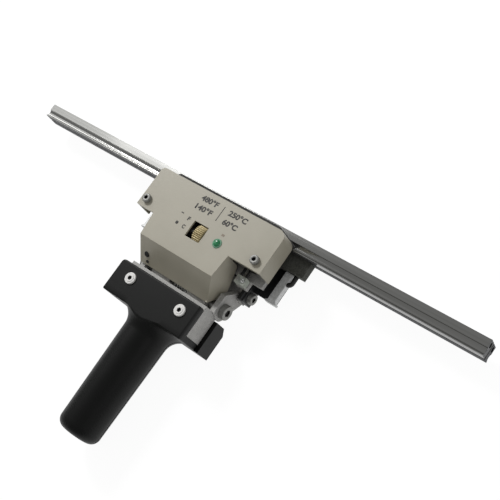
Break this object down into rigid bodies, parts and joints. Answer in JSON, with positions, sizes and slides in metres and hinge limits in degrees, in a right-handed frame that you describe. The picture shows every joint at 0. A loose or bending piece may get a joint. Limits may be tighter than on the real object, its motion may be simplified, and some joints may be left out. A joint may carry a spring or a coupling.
{
  "type": "hand-held tong heat sealer",
  "caption": "Hand-held tong heat sealer with long heated jaw bars, a thermostat housing with thumbwheel and lamp, and a split round grip that closes the jaws.",
  "frame": {"origin": "middle of the bounding box on the plane the sealer lies on, dial face up", "axes": "+X along the jaw bars, +Y from the grip to the jaws, +Z out of the dial face"},
  "size_m": [0.425, 0.2004, 0.0486],
  "materials": {
    "black_grip": "fine-textured black moulded plastic",
    "white_cap": "white moulded washer",
    "bright_steel": "bright zinc-plated steel",
    "black_rubber": "matt black rubber",
    "grey_casting": "speckled cast aluminium",
    "black_steel": "black stove enamel on steel",
    "insulator": "dark grey fibre composite",
    "jaw_bar": "drawn bar, satin",
    "heater_steel": "heat-stained steel sheath",
    "seal_strip": "non-stick strip, tan",
    "beige_paint": "grey-beige satin enamel on sheet",
    "black_bakelite": "black phenolic moulding",
    "cream_plastic": "cream moulded plastic",
    "green_lens": "green lamp lens",
    "terminal_white": "greenish white ceramic-like block",
    "brass_wheel": "ribbed brass thumbwheel"
  },
  "bodies": {
    "lever_a": {"front_grip": "black_grip", "front_grip_washers": "white_cap", "front_grip_screws": "white_cap", "grip_buffers": "black_rubber", "inlet_grommet": "black_rubber", "main_casting": "grey_casting", "hinge_pin": "bright_steel", "hinge_nuts": "bright_steel", "return_spring": "bright_steel", "rear_jaw_bracket": "black_steel", "jaw_columns": "grey_casting", "bracket_bolts": "bright_steel", "rear_insulator": "insulator", "rear_bar": "jaw_bar", "rear_bar_bolts": "bright_steel", "rear_heater": "heater_steel", "rear_seal_strip": "seal_strip", "rear_lead": "black_rubber"},
    "lever_b": {"rear_grip": "black_grip", "rear_grip_screws": "bright_steel", "housing_casting": "grey_casting", "front_cover": "beige_paint", "heat_sheet": "insulator", "cover_screws": "bright_steel", "front_insulator": "insulator", "front_bar": "jaw_bar", "front_bar_bolts": "bright_steel", "front_heater": "heater_steel", "front_seal_strip": "seal_strip", "thermostat_body": "black_bakelite", "thermostat_bracket": "black_steel", "lamp_lens": "green_lens", "lamp_holder": "cream_plastic", "terminal_block": "terminal_white", "terminal_screws": "bright_steel", "front_leads": "black_rubber", "face_plugs": "black_rubber"},
    "thumbwheel": {"temperature_wheel": "brass_wheel", "wheel_shaft": "bright_steel"}
  },
  "joints": [
    {"name": "jaw_hinge", "type": "hinge", "parent": "lever_a", "child": "lever_b", "pos_m": [0, 0.0283, 0.0171], "axis": [1, 0, 0], "range_deg": [0, 10], "stiffness_Nm_per_rad": 1.2, "springref_deg": 34.38},
    {"name": "wheel_turn", "type": "hinge", "parent": "lever_b", "child": "thumbwheel", "pos_m": [0, 0.063, 0.0395], "axis": [1, 0, 0], "range_deg": [-130, 130]}
  ]
}
